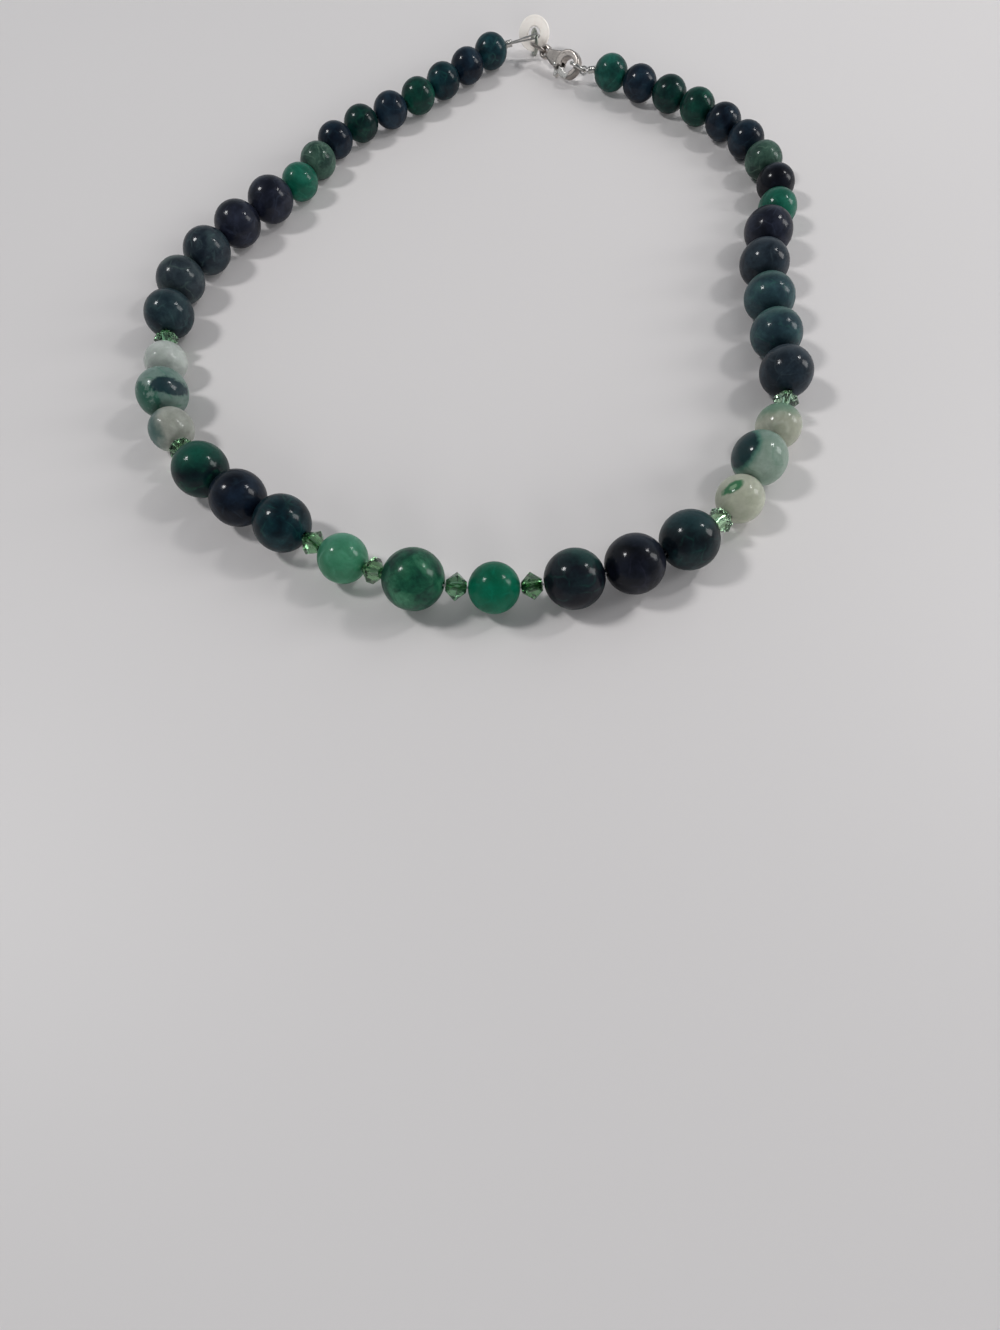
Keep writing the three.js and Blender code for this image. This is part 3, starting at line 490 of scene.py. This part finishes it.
def stone(name, look, seed, radius):
    """Polished stone: warped clouds of colour, veins, a patch or a painted top (lighter painted sheen on dark and mint
    stones, darker green on pale ones), and a fine mottle.
    """
    m, t = new_material(name)
    L = LOOKS[look]
    rng = np.random.RandomState(1000 + seed)
    coords = t.add("ShaderNodeTexCoord").outputs["Object"]
    place = t.add("ShaderNodeMapping", {"Vector": coords, "Scale": (1000.0,) * 3,
                                         "Location": tuple(rng.uniform(-40, 40, 3)),
                                         "Rotation": tuple(rng.uniform(0, 6.28, 3))}).outputs[0]
    here = t.vec("SCALE", coords, scale=1000.0 / radius)        # -1 to 1 across the bead
    bend = t.vec("SCALE", t.vec("SUBTRACT", t.noise(place, 0.16, 2.0).outputs["Color"], (0.5, 0.5, 0.5)), scale=5.0)
    warped = t.vec("ADD", place, bend)
    cloud = t.noise(warped, 0.26, 5.0, 0.55).outputs["Fac"]
    colour = t.ramp(cloud, L["stops"], "B_SPLINE")

    vein_colour, vein_amount, vein_cells = L["vein"]
    cells = t.add("ShaderNodeTexVoronoi", {"Vector": warped, "Scale": vein_cells}, feature="DISTANCE_TO_EDGE").outputs["Distance"]
    thin = t.span(cells, 0.0, 0.075, 1.0, 0.0, smooth=True)
    broken = t.span(t.noise(place, 0.45, 3.0).outputs["Fac"], 0.42, 0.62, smooth=True)
    colour = t.mix(t.math("MULTIPLY", t.math("MULTIPLY", thin, broken), vein_amount), colour, vein_colour)

    wander = t.span(t.noise(warped, 0.20, 4.0, 0.6).outputs["Fac"], 0.25, 0.75, -1.0, 1.0)
    # Painted sheen: the lighter top of the dark and mint stones stands in for the room's light on the polish; on the
    # pale stones this is a darker green top.
    if "top_sheen_and_tint" in L:
        top_sheen_and_tint_colour, way, start, full, amount = L["top_sheen_and_tint"]
        up = t.vec("DOT_PRODUCT", here, from_front(way))
        mask = t.span(t.math("MULTIPLY_ADD", wander, 0.22, up), start, full, 0.0, amount, smooth=True)
        colour = t.mix(mask, colour, top_sheen_and_tint_colour)
    if "patch" in L:
        patch_colour, way, edge, width, roam = L["patch"]
        toward = t.math("MULTIPLY_ADD", wander, roam, t.vec("DOT_PRODUCT", here, from_front(way)))
        if "ragged" in L:
            torn = t.math("SUBTRACT", t.noise(place, 0.75, 3.0, 0.6).outputs["Fac"], 0.5)
            toward = t.math("MULTIPLY_ADD", torn, L["ragged"], toward)
        if "rim" in L:
            rim = t.span(toward, edge - width * 1.7, edge, smooth=True)
            colour = t.mix(t.math("MULTIPLY", rim, 0.8), colour, L["rim"])
        mask = t.span(toward, edge - width / 2, edge + width / 2, smooth=True)
        colour = t.mix(t.math("MULTIPLY", mask, 0.96), colour, patch_colour)

    if "blot" in L:
        blot_colour, middle, half, tilt, edge = L["blot"]
        c, d = math.cos(tilt), math.sin(tilt)
        run = t.math("SUBTRACT", t.vec("DOT_PRODUCT", here, from_front((c, d, 0))), middle[0] * c + middle[1] * d)
        rise = t.math("SUBTRACT", t.vec("DOT_PRODUCT", here, from_front((-d, c, 0))), middle[1] * c - middle[0] * d)
        run, rise = t.math("DIVIDE", run, half[0]), t.math("DIVIDE", rise, half[1])
        reach = t.math("SQRT", t.math("MULTIPLY_ADD", run, run, t.math("MULTIPLY", rise, rise)))
        torn = t.math("SUBTRACT", t.noise(place, 0.75, 4.0, 0.6).outputs["Fac"], 0.5)
        inside = t.math("MULTIPLY_ADD", torn, L["ragged"], t.math("SUBTRACT", 1.0, reach))
        facing = t.math("GREATER_THAN", t.vec("DOT_PRODUCT", here, from_front((0, 0, 1))), 0.0)
        mask = t.math("MULTIPLY", t.span(inside, -edge, edge, smooth=True), facing)
        colour = t.mix(t.math("MULTIPLY", mask, 0.94), colour, blot_colour)
        if "eye" in L:
            mask = t.math("MULTIPLY", t.span(inside, L["eye"][1] - 0.1, L["eye"][1] + 0.1, smooth=True), facing)
            colour = t.mix(t.math("MULTIPLY", mask, 0.8), colour, L["eye"][0])

    speck = L.get("mottle", 0.18)
    tint = t.span(t.noise(place, 1.6, 6.0, 0.65).outputs["Fac"], 0.3, 0.7, 1.0 - speck, 1.0 + speck)
    both = t.add("ShaderNodeCombineXYZ", {"X": tint, "Y": tint, "Z": tint}).outputs[0]
    colour = t.mix(1.0, colour, both, "MULTIPLY")

    polish = t.span(t.noise(place, 1.5, 6.0, 0.75).outputs["Fac"], 0.35, 0.68, 0.06, 0.17)
    dents = t.noise(place, 0.85, 5.0, 0.6).outputs["Fac"]
    bump = t.add("ShaderNodeBump", {"Height": dents, "Strength": 0.5, "Distance": 0.00008}).outputs[0]
    haze = t.span(t.noise(place, 0.7, 4.0, 0.6).outputs["Fac"], 0.3, 0.7, 0.38, 0.54)
    gloss = L.get("gloss", 0.18)
    s = principled(t, Base_Color=colour, Roughness=haze, Normal=bump, Coat_Roughness=polish, Coat_Normal=bump)
    s.inputs["IOR"].default_value = 1.54
    s.inputs["Specular IOR Level"].default_value = gloss * 0.34
    s.inputs["Coat IOR"].default_value = 1.54
    s.inputs["Coat Weight"].default_value = gloss * 1.65
    s.inputs["Subsurface Weight"].default_value = L.get("soft", 0.0)
    s.inputs["Subsurface Radius"].default_value = (0.0022, 0.0026, 0.0022)
    s.inputs["Subsurface Scale"].default_value = 1.0
    s.inputs["Transmission Weight"].default_value = L.get("clear", 0.0)
    return m


# ---------------------------------------------------------------- beads
def bead_profile(r):
    """Ball with a bore through it and a rounded lip at each mouth: (radius, height), from the top mouth outward."""
    h, lip = BORE["r"], BORE["lip"]
    mouth = math.asin((h + lip) / r)
    top = r * math.cos(mouth)
    pts = [(h, top - lip * 1.15)]
    for k in range(1, 4):                                   # lip
        a = math.pi / 2 * k / 4
        pts.append((h + lip * (1 - math.cos(a)), top - lip * 1.15 * (1 - math.sin(a))))
    bands = 44
    for k in range(bands + 1):
        a = mouth + (math.pi - 2 * mouth) * k / bands
        pts.append((r * math.sin(a), r * math.cos(a)))
    for k in range(3, 0, -1):
        a = math.pi / 2 * k / 4
        pts.append((h + lip * (1 - math.cos(a)), -top + lip * 1.15 * (1 - math.sin(a))))
    pts.append((h, -top + lip * 1.15))
    for k in range(1, 6):                                   # bore wall
        pts.append((h, (-top + lip * 1.15) * (1 - k / 3)))
    return pts


def add_bead(number, b):
    prof = bead_profile(b["r"])
    verts, faces = lathe([(r, z) for r, z in prof], 64, basis(b["way"]))
    # a hand-polished ball is a hair under true here and there
    seed = Vector((number * 7.3, number * 3.1, number * 5.7))
    out = []
    for v in verts:
        d = 0.5 + 0.5 * noise.noise(v.normalized() * 1.3 + seed)
        out.append(v * (1.0 - 0.006 * d))
    o = add_object(f"stone_{number:02d}", out, [tuple(reversed(f)) for f in faces], b["c"])
    o.data.materials.append(stone(f"stone_{number:02d}", b["look"], number, b["r"]))
    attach(o, "necklace")
    if number <= 7:
        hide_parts("back_beads_left")
    elif number >= 37:
        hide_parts("back_beads_right")
    else:
        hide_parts(f"bead_{number:02d}")
    return o


for i, b in enumerate(beads):
    add_bead(i + 1, b)


# ---------------------------------------------------------------- faceted glass spacers
# Tints along the string: the darker ones are olive, the two on the right are nearly clear.
GLASS = [
    (0.34, 0.68, 0.38), (0.28, 0.54, 0.30), (0.24, 0.50, 0.26), (0.24, 0.46, 0.24),
    (0.22, 0.46, 0.26), (0.16, 0.36, 0.17), (0.50, 0.78, 0.50), (0.56, 0.82, 0.58),
]


def glass_material(name, tint, seed):
    m, t = new_material(name)
    coords = t.add("ShaderNodeTexCoord").outputs["Object"]
    place = t.add("ShaderNodeMapping", {"Vector": coords, "Scale": (1000.0,) * 3, "Location": (seed * 3.1, seed * 1.7, 0.0)}).outputs[0]
    cast = t.noise(place, 0.35, 2.0).outputs["Fac"]
    colour = t.ramp(cast, [(0.35, tuple(c * 0.82 for c in tint)), (0.65, tint)])
    s = principled(t, Base_Color=colour)
    s.inputs["Roughness"].default_value = 0.08
    s.inputs["IOR"].default_value = 1.57
    s.inputs["Transmission Weight"].default_value = 1.0
    return m


def add_crystal(number, one, two):
    """Bicone: eight long facets and eight small ones on each side of a thin girdle, with a hole along its axis."""
    C = CRYSTAL
    h, n = C["length"] / 2, 8
    way = unit(two["in"] - one["out"])
    centre = (one["out"] + two["in"]) / 2
    turn = basis(way)
    spin = 0.2 + 0.37 * number
    rows = []

    def row(r, z, half, count=n):
        rows.append([turn @ Vector((r * math.cos(spin + 2 * math.pi * (i + half) / n), r * math.sin(spin + 2 * math.pi * (i + half) / n), z)) for i in range(count)])

    g = C["girdle"] / 2
    row(C["bore_r"], h, 0.5)        # 0 bore, top
    row(C["end_r"], h, 0.5)         # 1 end, top
    row(C["waist_r"], g, 0.0)       # 2 waist, top
    row(C["waist_r"], -g, 0.0)      # 3 waist, bottom
    row(C["end_r"], -h, 0.5)        # 4 end, bottom
    row(C["bore_r"], -h, 0.5)       # 5 bore, bottom
    verts = [p for r in rows for p in r]
    faces = []
    for i in range(n):
        j = (i + 1) % n
        p = (i - 1) % n
        faces.append((0 * n + i, 0 * n + j, 1 * n + j, 1 * n + i))
        # end row is half a step ahead: end i sits between waist i and waist i+1
        faces.append((2 * n + i, 1 * n + i, 2 * n + j))
        faces.append((1 * n + i, 1 * n + j, 2 * n + j))
        faces.append((2 * n + i, 2 * n + j, 3 * n + j, 3 * n + i))
        faces.append((3 * n + i, 3 * n + j, 4 * n + i))
        faces.append((4 * n + i, 3 * n + j, 4 * n + j))
        faces.append((4 * n + i, 4 * n + j, 5 * n + j, 5 * n + i))
        faces.append((5 * n + i, 5 * n + j, 0 * n + j, 0 * n + i))
    o = add_object(f"spacer_{number}", verts, faces, centre, smooth=False)
    bm = bmesh.new()
    bm.from_mesh(o.data)
    bmesh.ops.recalc_face_normals(bm, faces=bm.faces)
    bm.to_mesh(o.data)
    bm.free()
    o.data.materials.append(glass_material(f"glass_{number}", GLASS[number - 1], number))
    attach(o, "necklace")
    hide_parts(f"crystal_{number}")
    return o


count = 0
for i, b in enumerate(beads):
    if b["crystal_after"]:
        count += 1
        add_crystal(count, b, beads[i + 1])


# ---------------------------------------------------------------- metal looks
def metal(name, light, dark, rough, scratch, metallic=1.0):
    """Silver-coloured metal: tone wanders with wear, darker in faint blotches, with fine scratches."""
    m, t = new_material(name)
    coords = t.add("ShaderNodeTexCoord").outputs["Object"]
    place = t.add("ShaderNodeMapping", {"Vector": coords, "Scale": (1000.0,) * 3}).outputs[0]
    wear = t.noise(place, 0.8, 6.0, 0.65).outputs["Fac"]
    colour = t.ramp(wear, [(0.26, dark), (0.46, light), (0.80, tuple(min(1.0, c * 1.04) for c in light))])
    fine = t.noise(place, 4.0, 5.0, 0.7).outputs["Fac"]
    roughness = t.span(fine, 0.3, 0.7, rough * 0.75, rough * 1.4)
    bump = t.add("ShaderNodeBump", {"Height": fine, "Strength": scratch, "Distance": 0.00001}).outputs[0]
    s = principled(t, Base_Color=colour, Roughness=roughness, Normal=bump)
    s.inputs["Metallic"].default_value = metallic
    return m


silver = metal("silver", (0.66, 0.64, 0.61), (0.40, 0.38, 0.36), 0.28, 0.25)
# Worn silver, darkened further as painted shade: on the link ring and the claw body it stands in for the disc's shadow
# falling there.
silver_worn_shaded = metal("silver_worn_painted_shade", (0.44, 0.40, 0.37), (0.19, 0.175, 0.16), 0.32, 0.35)
# Dark grey-green metal for the tag's ring: painted shade standing in for the shade seen in the tag's hole.
silver_hole_shade = metal("silver_hole_shade", (0.36, 0.385, 0.34), (0.20, 0.215, 0.19), 0.34, 0.30)
silver_satin = metal("silver_satin", (0.99, 0.925, 0.865), (0.94, 0.865, 0.79), 0.45, 0.30, metallic=0.06)
wire_metal = metal("wire_steel", (0.62, 0.61, 0.60), (0.38, 0.38, 0.38), 0.32, 0.4)


def sweep(points, outline, cap=True, start_side=None):
    """Carries a closed outline of (across, over) along a line of points; the outline is a function of the run so far."""
    pts = [Vector(p) for p in points]
    ways = []
    for i in range(len(pts)):
        lead = pts[i] - pts[i - 1] if i else pts[1] - pts[0]
        trail = pts[i + 1] - pts[i] if i + 1 < len(pts) else pts[-1] - pts[-2]
        ways.append(unit(unit(lead) + unit(trail)))
    side = Vector(start_side) if start_side is not None else Vector((0, 0, 1)).cross(ways[0])
    side = unit(side - ways[0] * side.dot(ways[0]))
    verts, run, count_per = [], 0.0, None
    for i, p in enumerate(pts):
        if i:
            run += (pts[i] - pts[i - 1]).length
            side = unit(side - ways[i] * side.dot(ways[i]))
        over = ways[i].cross(side)
        ring = outline(run)
        count_per = len(ring)
        verts += [p + side * x + over * y for x, y in ring]
    faces = ring_faces(len(pts), count_per, closed_rows=False)
    if cap:
        faces.append(tuple(reversed(range(count_per))))
        last = (len(pts) - 1) * count_per
        faces.append(tuple(last + k for k in range(count_per)))
    return verts, faces


def face_out(o):
    """Turns every face of a closed piece outward."""
    bm = bmesh.new()
    bm.from_mesh(o.data)
    bmesh.ops.recalc_face_normals(bm, faces=bm.faces)
    bm.to_mesh(o.data)
    bm.free()


def finish_piece(o, body, node, material):
    face_out(o)
    o.data.materials.append(material)
    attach(o, body)
    if node:
        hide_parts(node)
    return o


# Beading wire: six strands laid round a core, seen at the two end loops.
def strands(run, count=6, sides=30):
    ring = []
    for k in range(sides):
        a = 2 * math.pi * k / sides
        r = WIRE_R * (0.86 + 0.14 * abs(math.cos(count / 2 * (a + run * 1.9))))
        ring.append((r * math.cos(a), r * math.sin(a)))
    return ring


def divided(points, step):
    out = [Vector(points[0])]
    for p, q in zip(points, points[1:]):
        n = max(1, math.ceil((Vector(q) - Vector(p)).length / step))
        out += [Vector(p).lerp(Vector(q), k / n) for k in range(1, n + 1)]
    return out


def smoothed(points, steps):
    return [Vector(p) for p in centripetal([tuple(p) for p in points], steps)]


left_loop = smoothed(left_end["points"] + [beads[0]["in"]], 6)
right_loop = smoothed([beads[-1]["out"]] + list(reversed(right_end["points"])), 6)
inside = divided(wire_points[len(left_end["points"]):len(wire_points) - len(right_end["points"])], 1.4)
middle = beads[21]["c"]
wire_path = left_loop[:-1] + inside + right_loop[1:]
verts, faces = sweep([p - middle for p in wire_path], strands)
o = add_object("wire_strand", verts, faces, middle)
finish_piece(o, "necklace", "beading_wire", wire_metal)


# Crimps: a short tube pressed flat-sided in its middle, with rolled ends.
def add_crimp(name, end, node):
    h, r, bore = CRIMP["length"] / 2, CRIMP["outer_r"], CRIMP["bore_r"]
    wall = (r - bore) / 2
    profile = []
    rows = 12
    for k in range(7):                                      # rolled end, bore to outside
        a = math.pi * k / 6
        profile.append((bore + wall - wall * math.cos(a), h - wall + wall * math.sin(a)))
    for k in range(1, rows):
        profile.append((r, (h - wall) * (1 - 2 * k / rows)))
    for k in range(7):
        a = math.pi * k / 6
        profile.append((bore + wall + wall * math.cos(a), -h + wall - wall * math.sin(a)))
    for k in range(1, rows):
        profile.append((bore, -(h - wall) * (1 - 2 * k / rows)))
    turn = basis(end["way"], end["side"])
    sides = 40
    verts = []
    for rr, z in profile:
        for i in range(sides):
            a = 2 * math.pi * i / sides
            press = 1.0
            if rr > bore + wall:
                press = 1.0 - 0.11 * math.exp(-((abs(z) - 0.26) / 0.17) ** 2) * (0.45 + 0.55 * math.cos(2 * a) ** 2)
            verts.append(turn @ Vector((rr * press * math.cos(a), rr * press * math.sin(a), z)))
    o = add_object(name, verts, ring_faces(len(profile), sides), end["crimp"])
    return finish_piece(o, "necklace", node, silver)


add_crimp("crimp_tube_left", left_end, "crimp_left")
add_crimp("crimp_tube_right", right_end, "crimp_right")


# Jump rings: round wire bent to a ring, with a hairline seam where its ends meet.
def add_jump_ring(name, centre, axis, hint, size, seam, node, look):
    turn = basis(axis, hint)
    wire, mean = size["wire_r"], size["mean_r"]
    gap = 0.035 / mean
    arc = []
    around = 84
    for k in range(around + 1):
        a = rad(seam) + gap + (2 * math.pi - 2 * gap) * k / around
        arc.append(turn @ Vector((mean * math.cos(a), mean * math.sin(a), 0)))
    ends = (0.0, 0.05)
    total = mean * (2 * math.pi - 2 * gap)

    def section(run):
        left = min(run, total - run)
        r = wire * (1.0 if left > 0.04 else 0.90)
        return [(r * math.cos(2 * math.pi * k / 24), r * math.sin(2 * math.pi * k / 24)) for k in range(24)]

    near_start = arc[0].lerp(arc[1], 0.25)
    near_end = arc[-1].lerp(arc[-2], 0.25)
    path = [arc[0], near_start] + arc[1:-1] + [near_end, arc[-1]]
    verts, faces = sweep(path, section, start_side=turn @ Vector((0, 0, 1)))
    o = add_object(name, verts, faces, centre, sharp_deg=40)
    return finish_piece(o, "necklace", node, look)


# The tag's ring is painted dark as the shade in the tag's hole; the link ring is darkened as painted shade of the
# disc's shadow.
add_jump_ring("jump_ring_tag", tag_ring_centre, tag_down.cross(ring_out), tag_down, TAG_RING, 150, "ring_tag", silver_hole_shade)
add_jump_ring("jump_ring_link", link_centre, axis_b, axis_a, LINK_RING, 80, "ring_link", silver_worn_shaded)
add_jump_ring("jump_ring_end", end_ring_centre, axis_b, axis_a, END_RING, -75, "ring_end", silver)


# Tag: a shallow satin dome with a rolled rim and a rolled edge at its hole.
def add_tag():
    T = TAG
    half = T["thickness"] / 2

    def sag(r):
        return T["dome_r"] - math.sqrt(T["dome_r"] ** 2 - r * r)

    level_at = (sag(T["hole_r"]) + sag(T["radius"])) / 2
    profile = []
    steps = 22
    inner, outer = T["hole_r"] + half, T["radius"] - half
    for k in range(steps + 1):                              # face, hole to rim
        r = inner + (outer - inner) * k / steps
        lip = 0.05 * math.exp(-((outer - r) / 0.16) ** 2)
        profile.append((r, level_at - sag(r) + half + lip))
    for k in range(1, 8):
        a = math.pi * k / 8
        profile.append((outer + half * math.sin(a), level_at - sag(outer) + half * math.cos(a)))
    for k in range(steps + 1):                              # back, rim to hole
        r = outer - (outer - inner) * k / steps
        profile.append((r, level_at - sag(r) - half))
    for k in range(1, 8):
        a = math.pi * k / 8
        profile.append((inner - half * math.sin(a), level_at - sag(inner) - half * math.cos(a)))
    verts, faces = lathe(profile, 96, basis(tag_face))
    seed = Vector((3.7, 8.1, 5.9))
    shaped = [v + tag_face * (0.035 * noise.noise(v * 0.7 + seed)) for v in verts]
    o = add_object("tag_dome", shaped, faces, tag_centre)
    return finish_piece(o, "necklace", "tag", silver_satin)


add_tag()


# Claw clasp: the built shape with its edges rounded over, as a casting is after tumbling.
def rounded(name, node, voxel, passes, shape):
    """A new piece from a node's surface: remeshed finely, smoothed, and shaped by a function of its clasp axes."""
    src = NODES[node]
    world = src.matrix_world
    turn = Matrix((axis_a, axis_b, axis_c))
    work = bpy.data.meshes.new(name + "_work")
    local = [turn @ (world @ v.co * 1000.0 - tail) for v in src.data.vertices]
    work.from_pydata([tuple(v) for v in local], [], [tuple(p.vertices) for p in src.data.polygons])
    work.validate()
    temp = bpy.data.objects.new(name + "_work", work)
    bpy.context.scene.collection.objects.link(temp)
    fine = temp.modifiers.new("fine", "REMESH")
    fine.mode = "VOXEL"
    fine.voxel_size = voxel
    ease = temp.modifiers.new("ease", "SMOOTH")
    ease.factor = 0.5
    ease.iterations = passes
    bpy.context.view_layer.update()
    done = temp.evaluated_get(bpy.context.evaluated_depsgraph_get()).to_mesh()
    back = turn.transposed()
    verts = [back @ Vector(shape(v.co.x, v.co.y, v.co.z)) for v in done.vertices]
    faces = [tuple(p.vertices) for p in done.polygons]
    bpy.data.objects.remove(temp, do_unlink=True)
    return add_object(name, verts, faces, tail)


def claw_shape(a, b, c):
    """Fuller at the shoulder, slimmer at the nose."""
    nose = max(0.0, min(1.0, (a - 8.8) / 2.6))
    shoulder = math.exp(-((a - 4.4) / 1.6) ** 2)
    return a, b, c * (1.0 - 0.10 * nose + 0.10 * shoulder)


# The claw body wears the darkened silver: painted shade of the disc's shadow.
o = rounded("claw_body", "clasp_body", 0.07, 9, claw_shape)
finish_piece(o, "necklace", "clasp_body", silver_worn_shaded)
o = rounded("claw_lever", "clasp_lever", 0.06, 6, lambda a, b, c: (a, b, c))
finish_piece(o, "lever", "clasp_lever", silver)


# Rivet heads of the clasp's hinge, one on each cheek.
def add_rivet():
    verts, faces = [], []
    for side in (1, -1):
        base = 1.16 * side
        rows = [(0.44, -0.05), (0.46, 0.03), (0.42, 0.10), (0.32, 0.15), (0.18, 0.18)]
        start = len(verts)
        n = 28
        for r, h in rows:
            for i in range(n):
                w = 2 * math.pi * i / n
                verts.append((r * math.cos(w), r * math.sin(w), base + side * h))
        faces += [tuple(start + f for f in q) for q in ring_faces(len(rows), n, closed_rows=False)]
        faces.append(tuple(start + i for i in range(n)))
        faces.append(tuple(start + (len(rows) - 1) * n + i for i in range(n)))
    turn = Matrix((axis_a, axis_b, axis_c)).transposed()
    o = add_object("claw_rivet", [turn @ Vector(v) for v in verts], faces, in_clasp(PIVOT["a"], PIVOT["b"]), sharp_deg=50)
    return finish_piece(o, "necklace", None, silver)


add_rivet()

# ---------------------------------------------------------------- floor and light
floor_mesh = bpy.data.meshes.new("floor")
floor_mesh.from_pydata([(-3, -3, 0), (3, -3, 0), (3, 3, 0), (-3, 3, 0)], [], [(0, 1, 2, 3)])
floor = bpy.data.objects.new("floor", floor_mesh)
bpy.context.scene.collection.objects.link(floor)
m, t = new_material("floor")
coords = t.add("ShaderNodeTexCoord").outputs["Object"]
tone = t.noise(coords, 3.0, 3.0).outputs["Fac"]
s = principled(t, Base_Color=t.ramp(tone, [(0.3, (0.745, 0.712, 0.708)), (0.7, (0.775, 0.742, 0.738))]))
s.inputs["Roughness"].default_value = 0.5
floor.data.materials.append(m)

spin = Matrix.Rotation(rad(CAMERA["yaw"]), 3, "Z")


def area_light(name, direction, distance, size, watts, colour=(1, 1, 1), shape="DISK", size_y=None):
    data = bpy.data.lights.new(name, "AREA")
    data.shape = shape
    data.size = size
    if size_y:
        data.size_y = size_y
    data.energy = watts
    data.color = colour
    o = bpy.data.objects.new(name, data)
    bpy.context.scene.collection.objects.link(o)
    d = (spin @ Vector(direction)).normalized()
    o.location = d * distance
    o.rotation_mode = "QUATERNION"
    o.rotation_quaternion = d.to_track_quat("Z", "Y")
    return o


area_light("lamp_left", (-0.587, 0.146, 0.803), 1.1, 0.19, 3.9)
area_light("lamp_right", (0.68, 0.15, 0.717), 0.60, 0.08, 0.60)
area_light("window_right", (0.90, -0.02, 0.42), 1.1, 0.30, 3.0, shape="RECTANGLE", size_y=0.45)
soft = area_light("soft_far", (0.52, 0.46, 0.62), 0.47, 0.34, 0.32)
soft.visible_glossy = False
fill = area_light("fill_front", (0.1, -0.95, 0.27), 2.2, 1.1, 16.0)
fill.visible_glossy = False

world = bpy.data.worlds.new("room")
bpy.context.scene.world = world
world.use_nodes = True
t = Tree(world.node_tree)
way = t.add("ShaderNodeTexCoord").outputs["Generated"]
far = t.vec("DOT_PRODUCT", way, tuple(spin @ Vector((0, 1, 0))))
height = t.vec("DOT_PRODUCT", way, (0, 0, 1))
low = t.span(height, 0.0, 0.9, 1.0, 0.0, smooth=True)
glow = t.math("MULTIPLY", low, t.span(far, -0.6, 0.9, 0.25, 1.0))
strength = t.math("MULTIPLY_ADD", glow, 0.54, 0.10)
bg = t.add("ShaderNodeBackground", {"Color": (0.86, 0.94, 1.0, 1.0), "Strength": strength})
out = t.add("ShaderNodeOutputWorld")
t.t.links.new(bg.outputs[0], out.inputs["Surface"])

bpy.context.scene.view_settings.view_transform = "Standard"
bpy.context.scene.view_settings.look = "None"
